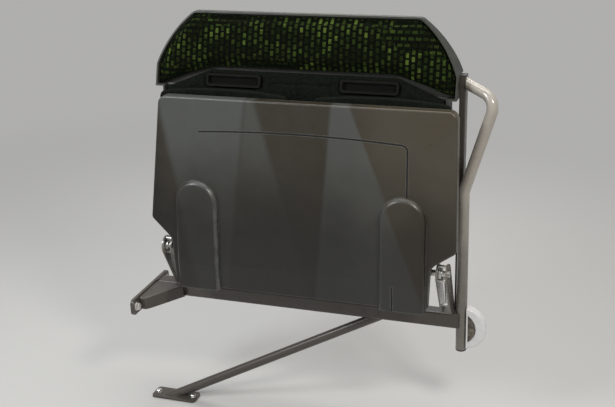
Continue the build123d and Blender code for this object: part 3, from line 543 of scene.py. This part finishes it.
def evaluated_mesh(piece):
    """The piece's mesh with its modifiers applied."""
    graph = bpy.context.evaluated_depsgraph_get()
    return bpy.data.meshes.new_from_object(piece.evaluated_get(graph))


def swept(name, points, radius, material, closed=False):
    """A round bar along the points."""
    curve = bpy.data.curves.new(name + "_line", "CURVE")
    curve.dimensions = "3D"
    curve.bevel_depth = radius
    curve.bevel_resolution = 2
    curve.use_fill_caps = True
    line = curve.splines.new("POLY")
    line.points.add(len(points) - 1)
    for point, place in zip(line.points, points):
        point.co = (*place, 1)
    line.use_cyclic_u = closed
    holder = bpy.data.objects.new(name + "_line", curve)
    scene.collection.objects.link(holder)
    bpy.context.view_layer.update()
    mesh = evaluated_mesh(holder)
    bpy.data.objects.remove(holder)
    mesh.shade_smooth()
    return new_object(name, mesh, material)


def joined(name, bodies, material):
    """One mesh from several bmesh bodies."""
    whole = bmesh.new()
    for body in bodies:
        part = bpy.data.meshes.new("part")
        body.to_mesh(part)
        body.free()
        whole.from_mesh(part)
        bpy.data.meshes.remove(part)
    mesh = bpy.data.meshes.new(name)
    whole.to_mesh(mesh)
    whole.free()
    return new_object(name, mesh, material)


# Soft pieces
VOXEL = 0.005
SHRINK = 0.002
RIM_POWER = 2.2
SEAM_WIDTH = 0.0028
SEAM_DEPTH = 0.0022
WELT_POINTS = 260
WELT_R = 0.0024
WELT_LIFT = 0.2  # of its radius
PROBE = 0.1  # how far off the pad its search begins
PRESSURE = 4
STIFFNESS = 18
BEND_STIFFNESS = 2
CLOTH_FRAMES = 20


def faces_tree(node, picks):
    """The CAD node's faces whose normal picks() accepts, ready to be searched."""
    data = nodes[node].data
    faces = [tuple(f.vertices) for f in data.polygons if picks(f.normal)]
    return BVHTree.FromPolygons([v.co for v in data.vertices], faces)


def side_faces(node):
    """The CAD pad's narrow faces, all round its rim."""
    return faces_tree(node, lambda n: abs(n.y) < 0.5)


def distances(tree, points):
    return np.array([tree.find_nearest(Vector(p))[3] for p in points])


def vectors(mesh, key):
    values = np.empty(len(mesh.vertices) * 3)
    mesh.vertices.foreach_get(key, values)
    return values.reshape(-1, 3)


def place_vertices(mesh, at):
    mesh.vertices.foreach_set("co", at.ravel())
    mesh.update()


def apply_modifiers(piece):
    bpy.context.view_layer.update()
    piece.data = evaluated_mesh(piece)
    piece.modifiers.clear()


def padded_piece(
    node, facing, thick, drop, reach, cap, border, seam=0.0, channels=(), voxel=VOXEL
):
    """A foam pad inside its CAD solid: round at the rim, swollen by a cloth simulation, then sewn.

    facing is the way the padded face looks and thick the foam's depth behind it.
    drop is how far the rim lies below the face and reach how far in the rounding goes.
    cap is how far the cloth may swell on the face.
    seam is the distance of the sewn line from the pad's edge. Faces outside it, and those turned
    away from facing by more than border, a cosine, get the plain border cloth. A border above 1
    makes the whole pad plain.
    channels are the x places of sewn channels from the pad's top to its bottom.
    voxel is the size of the cells that the solid is remeshed with.
    """
    sides = side_faces(node)
    front = faces_tree(node, lambda n: n.dot(facing) > 0.8)
    look = np.array(facing)
    work = new_object(node + "_cover", nodes[node].data.copy(), fabric)
    remesh = work.modifiers.new("remesh", "REMESH")
    remesh.mode = "VOXEL"
    remesh.voxel_size = voxel
    apply_modifiers(work)
    at, out = vectors(work.data, "co"), vectors(work.data, "normal")
    high = np.clip(1 - distances(front, at) / thick, 0, 1)
    fall = np.clip(1 - distances(sides, at) / reach, 0, 1) ** RIM_POWER
    at = at - out * SHRINK - look * (drop * fall * high)[:, None]
    place_vertices(work.data, at)
    swell(work, at, out, look, cap)
    divide = work.modifiers.new("divide", "SUBSURF")
    divide.levels = divide.render_levels = 1
    apply_modifiers(work)
    at, out = vectors(work.data, "co"), vectors(work.data, "normal")
    if seam:
        groove = np.exp(-(((distances(sides, at) - seam) / SEAM_WIDTH) ** 2))
        for x in channels:
            groove = groove + 2 * np.exp(-(((at[:, 0] - x) / (2 * SEAM_WIDTH)) ** 2))
        at = at - look * (SEAM_DEPTH * groove * (out @ look > 0.5))[:, None]
        place_vertices(work.data, at)
    u, v = weave_places(at, out, look)
    weave = work.data.attributes.new("weave", "FLOAT_VECTOR", "POINT")
    weave.data.foreach_set("vector", np.stack([u, v, np.zeros(len(u))], -1).ravel())
    work.data.materials.append(border_cloth)
    for face in work.data.polygons:
        outside = seam > 0 and sides.find_nearest(face.center)[3] < seam
        face.material_index = int(outside or face.normal.dot(facing) < border)
    work.data.shade_smooth()
    return work


def weave_places(at, out, look):
    """Places on the flat cloth: x and z on the face, run on over the rim by the depth below it."""
    ahead = at @ look
    depth = ahead.max() - ahead
    tilt = np.clip((1 - out @ look) / 0.4, 0, 1)
    middle = (at.min(axis=0) + at.max(axis=0)) / 2
    across, up = np.abs(out[:, 0]), np.abs(out[:, 2] - look[2] * (out @ look))
    share = across / (across + up + 1e-6)
    u = at[:, 0] + np.sign(at[:, 0] - middle[0]) * depth * tilt * share
    v = at[:, 2] + np.sign(at[:, 2] - middle[2]) * depth * tilt * (1 - share)
    return u, v


def swell(work, start, out, look, cap):
    """Runs the cloth under pressure and keeps each point within its cap."""
    cloth = work.modifiers.new("cloth", "CLOTH")
    settings = cloth.settings
    settings.use_pressure = True
    settings.uniform_pressure_force = PRESSURE
    settings.effector_weights.gravity = 0
    settings.tension_stiffness = settings.compression_stiffness = STIFFNESS
    settings.bending_stiffness = BEND_STIFFNESS
    cloth.collision_settings.use_collision = False
    for number in range(1, CLOTH_FRAMES + 1):
        scene.frame_set(number)
    mesh = evaluated_mesh(work)
    moved = vectors(mesh, "co") - start
    bpy.data.meshes.remove(mesh)
    work.modifiers.clear()
    scene.frame_set(1)
    side_limit = SHRINK * 0.9
    limit = side_limit + (cap - side_limit) * np.clip(out @ look, 0, 1) ** 2
    size = np.maximum(np.linalg.norm(moved, axis=1), 1e-9)
    place_vertices(work.data, start + moved * (limit * np.tanh(size / limit) / size)[:, None])


def welt(cover, node, facing, inward):
    """Piping along the seam: a cord on the cover's surface, inward from the pad's edge."""
    sides = side_faces(node)
    cloth = BVHTree.FromPolygons(
        [v.co for v in cover.data.vertices], [tuple(f.vertices) for f in cover.data.polygons]
    )
    low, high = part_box(node)
    middle = (low + high) / 2
    level = Vector((1, 0, 0))
    up = facing.cross(level)
    points = []
    for k in range(WELT_POINTS):
        a = 2 * pi * k / WELT_POINTS
        edge, normal, _, _ = sides.ray_cast(middle, level * cos(a) + up * sin(a))
        flat = (normal - facing * normal.dot(facing)).normalized()
        above = edge + flat * -inward + facing * PROBE
        spot = cloth.ray_cast(above, -facing)[0]
        points.append(spot + facing * WELT_R * WELT_LIFT)
    return swept(node + "_welt", points, WELT_R, welt_cloth, closed=True)


up_face = Vector((0, -cos(UP_LEAN), sin(UP_LEAN)))
low_face = Vector((0, -cos(LOW_LEAN), sin(LOW_LEAN)))

BACK_PADS = (
    ("back_pad", up_face, dict(thick=0.024, drop=0.006, reach=0.045, cap=0.008, border=-0.5)),
    (
        "back_pad_lower",
        low_face,
        dict(
            thick=0.020,
            drop=0.004,
            reach=0.035,
            cap=0.003,
            border=2.0,
            seam=0.030,
            channels=(BACK_MIDDLE_X,),
            voxel=0.006,
        ),
    ),
)
for name, facing, form in BACK_PADS:
    cover = padded_piece(name, facing, **form)
    finish_piece(cover, "frame", "seat_fabric", name)

CUSHION_SEAM = 0.014
for side in ("left", "right"):
    name = f"seat_cushion_{side}"
    cover = padded_piece(
        name,
        -low_face,
        thick=0.026,
        drop=0.009,
        reach=0.06,
        cap=0.0045,
        border=0.3,
        seam=CUSHION_SEAM,
    )
    finish_piece(cover, "seat", "seat_fabric", name)
    piping = welt(cover, name, -low_face, CUSHION_SEAM)
    finish_piece(piping, "seat", "seat_fabric")


# Springs
COIL_STEPS = 14  # points on each coil
HOOK_STEPS, HOOK_TURN = 9, 26  # points on each hook, and the degrees between them
HOOK_GAP = 0.0002
HOOK_NECK = 0.0035


def spring_path(x):
    """Points of the wire: hook round the anchor, coils, hook round the lever's pin."""
    low = Vector((x, ANCHOR_Y, ANCHOR_Z))
    pin_y = HINGE_Y + LEVER_LENGTH * cos(LEVER_ANGLE)
    pin_z = HINGE_Z + LEVER_LENGTH * sin(LEVER_ANGLE)
    high = Vector((x, pin_y, pin_z))
    along = (high - low).normalized()
    side_x = Vector((1, 0, 0))
    side_y = along.cross(side_x)
    length = (high - low).length
    eye = PIN_R + SPRING_WIRE_R + HOOK_GAP
    coil = SPRING_R - SPRING_WIRE_R
    ends = eye + HOOK_NECK
    points = []
    for step in range(-HOOK_STEPS, 1):
        a = radians(HOOK_TURN * step)
        points.append(low + side_y * (eye * sin(a)) + along * (eye * cos(a)))
    turns = SPRING_COILS * COIL_STEPS
    for step in range(turns + 1):
        a = 2 * pi * step / COIL_STEPS
        place = ends + (length - 2 * ends) * step / turns
        points.append(low + along * place + side_y * (coil * cos(a)) + side_x * (coil * sin(a)))
    for step in range(HOOK_STEPS + 1):
        a = radians(HOOK_TURN * step)
        points.append(high + side_y * (eye * sin(a)) - along * (eye * cos(a)))
    return points, low, high


for side in ("left", "right"):
    low_corner, high_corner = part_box(f"return_spring_{side}")
    points, low, high = spring_path((low_corner.x + high_corner.x) / 2)
    spring = swept(f"coil_spring_{side}", points, SPRING_WIRE_R, zinc)
    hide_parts(f"return_spring_{side}")
    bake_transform(spring)


# Fasteners
CHAMFER = 0.0004
SHARP_ANGLE = radians(35)
WALL_BOLT = dict(across_flats=0.018, head=0.0075, washer_r=0.012, washer_t=0.0025)
FOOT_BOLT = dict(across_flats=0.013, head=0.0053, washer_r=0.008, washer_t=0.0016)


def turned(profile, sides, axis, place):
    """A body turned about axis from (radius, height) pairs."""
    body = bmesh.new()
    rings = []
    for radius, height in profile:
        ring = []
        for k in range(sides):
            a = 2 * pi * k / sides
            ring.append(body.verts.new((radius * cos(a), radius * sin(a), height)))
        rings.append(ring)
    for lower, upper in zip(rings, rings[1:]):
        for k in range(sides):
            after = (k + 1) % sides
            body.faces.new((lower[k], lower[after], upper[after], upper[k]))
    body.faces.new(list(reversed(rings[0])))
    body.faces.new(rings[-1])
    turn = Vector((0, 0, 1)).rotation_difference(Vector(axis)).to_matrix().to_4x4()
    body.transform(Matrix.Translation(place) @ turn)
    return body


def hex_bolt(axis, place, across_flats, head, washer_r, washer_t):
    """Washer, hexagon head with a turned chamfer, and the head's flat top."""
    point = Vector(place)
    up = Vector(axis)
    corner = across_flats / 2 / cos(pi / 6)
    rim = washer_r - CHAMFER
    washer = [(rim, 0), (washer_r, CHAMFER), (washer_r, washer_t - CHAMFER), (rim, washer_t)]
    hexagon = [
        (corner * 0.985, 0),
        (corner, CHAMFER),
        (corner, head * 0.82),
        (corner * 0.86, head),
    ]
    disc = [(corner * 0.80, 0), (corner * 0.78, CHAMFER)]
    return [
        turned(washer, 32, axis, point),
        turned(hexagon, 6, axis, point + up * washer_t),
        turned(disc, 24, axis, point + up * (washer_t + head)),
    ]


foot_bolts_x = [FOOT_X + sign * FOOT_BOLT_SPACING / 2 for sign in (-1, 1)]
for name, form, axis, places in (
    ("wall_bolts", WALL_BOLT, (1, 0, 0), [(FLANGE_T, y, 0) for y in WALL_BOLTS_Y]),
    ("foot_bolts", FOOT_BOLT, (0, 0, 1), [(x, FOOT_Y, FOOT_TOP) for x in foot_bolts_x]),
):
    bodies = [body for place in places for body in hex_bolt(axis, place, **form)]
    bolts = joined(name, bodies, zinc)
    bolts.data.shade_smooth()
    bolts.data.set_sharp_from_angle(angle=SHARP_ANGLE)
    finish_piece(bolts, "frame", "zinc_steel")


# Welds
FLANGE_WELD_R, TUBE_WELD_R, STRUT_WELD_R, BRACKET_WELD_R = 0.0032, 0.0026, 0.0024, 0.0022
BEAM_CORNER = 0.004
STRUT_RING_POINTS = 28


def weld_bead(path, radius, closed):
    """A row of overlapping drops along the path."""
    pitch = radius * 0.9
    bodies = []
    ends = path[1:] + path[:1] if closed else path[1:]
    for a, b in zip(path, ends):
        a, b = Vector(a), Vector(b)
        along = b - a
        drops = max(2, int(along.length / pitch))
        turn = Vector((0, 0, 1)).rotation_difference(along.normalized()).to_matrix().to_4x4()
        for k in range(drops):
            drop = bmesh.new()
            bmesh.ops.create_uvsphere(drop, u_segments=8, v_segments=5, radius=radius)
            drop.transform(Matrix.Scale(0.72, 4, (0, 0, 1)))
            drop.transform(Matrix.Translation(a.lerp(b, (k + 0.5) / drops)) @ turn)
            bodies.append(drop)
    return bodies


def square(x, half):
    return [(x, -half, -half), (x, half, -half), (x, half, half), (x, -half, half)]


def strut_rings():
    """Where the strut meets its foot and the beam's underside, as two closed paths."""
    low = Vector((FOOT_X, FOOT_Y, FOOT_TOP))
    high = Vector((STRUT_TOP_X, 0, -BEAM / 2))
    run = (high - low).normalized()
    axis_x = Vector((run.x, run.y, 0)).normalized()
    axis_y = Vector((-axis_x.y, axis_x.x, 0))
    stretch = 1 / run.z
    rings = []
    for end in (low, high):
        ring = []
        for k in range(STRUT_RING_POINTS):
            a = 2 * pi * k / STRUT_RING_POINTS
            flat = Vector((cos(a), sin(a), 0))
            spot = axis_x * (flat.x * STRUT_R * stretch) + axis_y * (flat.y * STRUT_R)
            ring.append(tuple(end + spot))
        rings.append(ring)
    return rings


beads = weld_bead(square(FLANGE_T + 0.001, BEAM / 2), FLANGE_WELD_R, True)
beads += weld_bead(square(TUBE_X - TUBE_R + 0.003, BEAM / 2 - BEAM_CORNER), TUBE_WELD_R, True)
for ring in strut_rings():
    beads += weld_bead(ring, STRUT_WELD_R, True)
for side in ("left", "right"):
    low_corner, high_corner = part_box(f"upright_{side}")
    y, z = BEAM / 2, BEAM / 2 - BEAM_CORNER
    for x in (low_corner.x, high_corner.x):
        beads += weld_bead([(x, y, -z), (x, y, z)], STRUT_WELD_R, False)
    low_corner, high_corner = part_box(f"hinge_bracket_{side}")
    front_y, rear_y, top_z = -BEAM / 2 + BEAM_CORNER, BEAM / 2 - 0.006, BEAM / 2
    for x in (low_corner.x, high_corner.x):
        beads += weld_bead([(x, front_y, top_z), (x, rear_y, top_z)], BRACKET_WELD_R, False)
welds = joined("weld_beads", beads, dirt_and_shade_paint)
welds.data.shade_smooth()
finish_piece(welds, "frame", "frame_paint")


# Floor: a wide disc whose far part and the world behind it show one pale tone
FLOOR_R = 30.0
NEAR_R, FAR_R = 0.8, 3.2
PALE = (0.430, 0.427, 0.417)
FLOOR_COLOUR = (0.53, 0.525, 0.51)


def shown_directly(tree):
    """1 for rays from the camera, and for those that metal and glass send on, and else 0."""
    rays = tree.nodes.new("ShaderNodeLightPath").outputs
    shown = rays["Is Camera Ray"]
    for kind in ("Is Glossy Ray", "Is Transmission Ray"):
        either = tree.nodes.new("ShaderNodeMath")
        either.operation = "MAXIMUM"
        tree.links.new(shown, either.inputs[0])
        tree.links.new(rays[kind], either.inputs[1])
        shown = either.outputs[0]
    return shown


studio = Shading(
    "stage_finish", Base_Color=rgba(FLOOR_COLOUR), Roughness=0.85, Specular_IOR_Level=0.2
)
flat = studio.node("VectorMath", {0: studio.point(), 1: (1, 1, 0)}, operation="MULTIPLY")
beyond = studio.between(studio.length(flat), NEAR_R, FAR_R)
far = studio.product(beyond, shown_directly(studio.tree))
pale = studio.node("Emission", {"Color": rgba(PALE), "Strength": 1.0})
finish = studio.node("MixShader", {0: far, 1: studio.shader.outputs[0], 2: pale})
studio.tree.links.new(finish, studio.tree.nodes["Material Output"].inputs["Surface"])

floor_body = bmesh.new()
bmesh.ops.create_circle(floor_body, cap_ends=True, segments=96, radius=FLOOR_R)
floor_body.transform(Matrix.Translation((0, 0, FLOOR_Z)))
floor = joined("studio_floor", [floor_body], studio.material)


# Light and camera
SKY_COLOUR, SKY_STRENGTH = (0.95, 0.97, 1.0), 0.36
CENTRE = (0.45, 0.0, 0.25)
LAMPS = (  # name, place, aim, size, watts, colour
    ("window_light", (-0.9, -1.5, 1.75), (0.35, 0.0, 0.45), (0.8, 0.8), 27, (0.94, 0.97, 1.0)),
    ("aisle_light", (1.95, -1.35, 2.05), CENTRE, (0.5, 0.5), 29, (1.0, 0.96, 0.90)),
    ("roof_light", (0.5, 0.3, 2.7), CENTRE, (2.0, 1.0), 27, (1.0, 0.98, 0.95)),
    ("rear_light", (0.1, 2.0, 2.4), CENTRE, (1.3, 0.9), 30, (1.0, 0.99, 0.97)),
)
CAMERA_PLACE = Vector((1.302, -2.409, 1.239))
CAMERA_AIM = Vector((0.455, -0.010, 0.298))
CAMERA_ROLL = radians(-2.0)
CAMERA_LENS = 62.0
CAMERA_SHIFT = -0.009  # leaves room under the strut's foot


def looking(place, aim):
    """The turn of a lamp or camera at place that looks at aim."""
    return (Vector(aim) - Vector(place)).to_track_quat("-Z", "Y")


for name, place, aim, size, power, colour in LAMPS:
    lamp = bpy.data.lights.new(name, "AREA")
    lamp.shape = "RECTANGLE"
    lamp.size, lamp.size_y = size
    lamp.energy = power
    lamp.color = colour
    holder = bpy.data.objects.new(name, lamp)
    scene.collection.objects.link(holder)
    holder.location = place
    holder.rotation_mode = "QUATERNION"
    holder.rotation_quaternion = looking(place, aim)

world = bpy.data.worlds.new("studio")
world.use_nodes = True
tree = world.node_tree
sky = tree.nodes["Background"]
sky.inputs["Color"].default_value = rgba(SKY_COLOUR)
sky.inputs["Strength"].default_value = SKY_STRENGTH
backdrop = tree.nodes.new("ShaderNodeBackground")
backdrop.inputs["Color"].default_value = rgba(PALE)
choice = tree.nodes.new("ShaderNodeMixShader")
tree.links.new(shown_directly(tree), choice.inputs[0])
tree.links.new(sky.outputs[0], choice.inputs[1])
tree.links.new(backdrop.outputs[0], choice.inputs[2])
tree.links.new(choice.outputs[0], tree.nodes["World Output"].inputs["Surface"])
scene.world = world

lens = bpy.data.cameras.new("photo_camera")
lens.lens = CAMERA_LENS
lens.sensor_width = 36.0
lens.shift_y = CAMERA_SHIFT
camera = bpy.data.objects.new("photo_camera", lens)
scene.collection.objects.link(camera)
camera.location = CAMERA_PLACE
camera.rotation_mode = "QUATERNION"
roll = Matrix.Rotation(CAMERA_ROLL, 3, "Z").to_quaternion()
camera.rotation_quaternion = looking(CAMERA_PLACE, CAMERA_AIM) @ roll
scene.camera = camera
scene.view_settings.view_transform = "Standard"
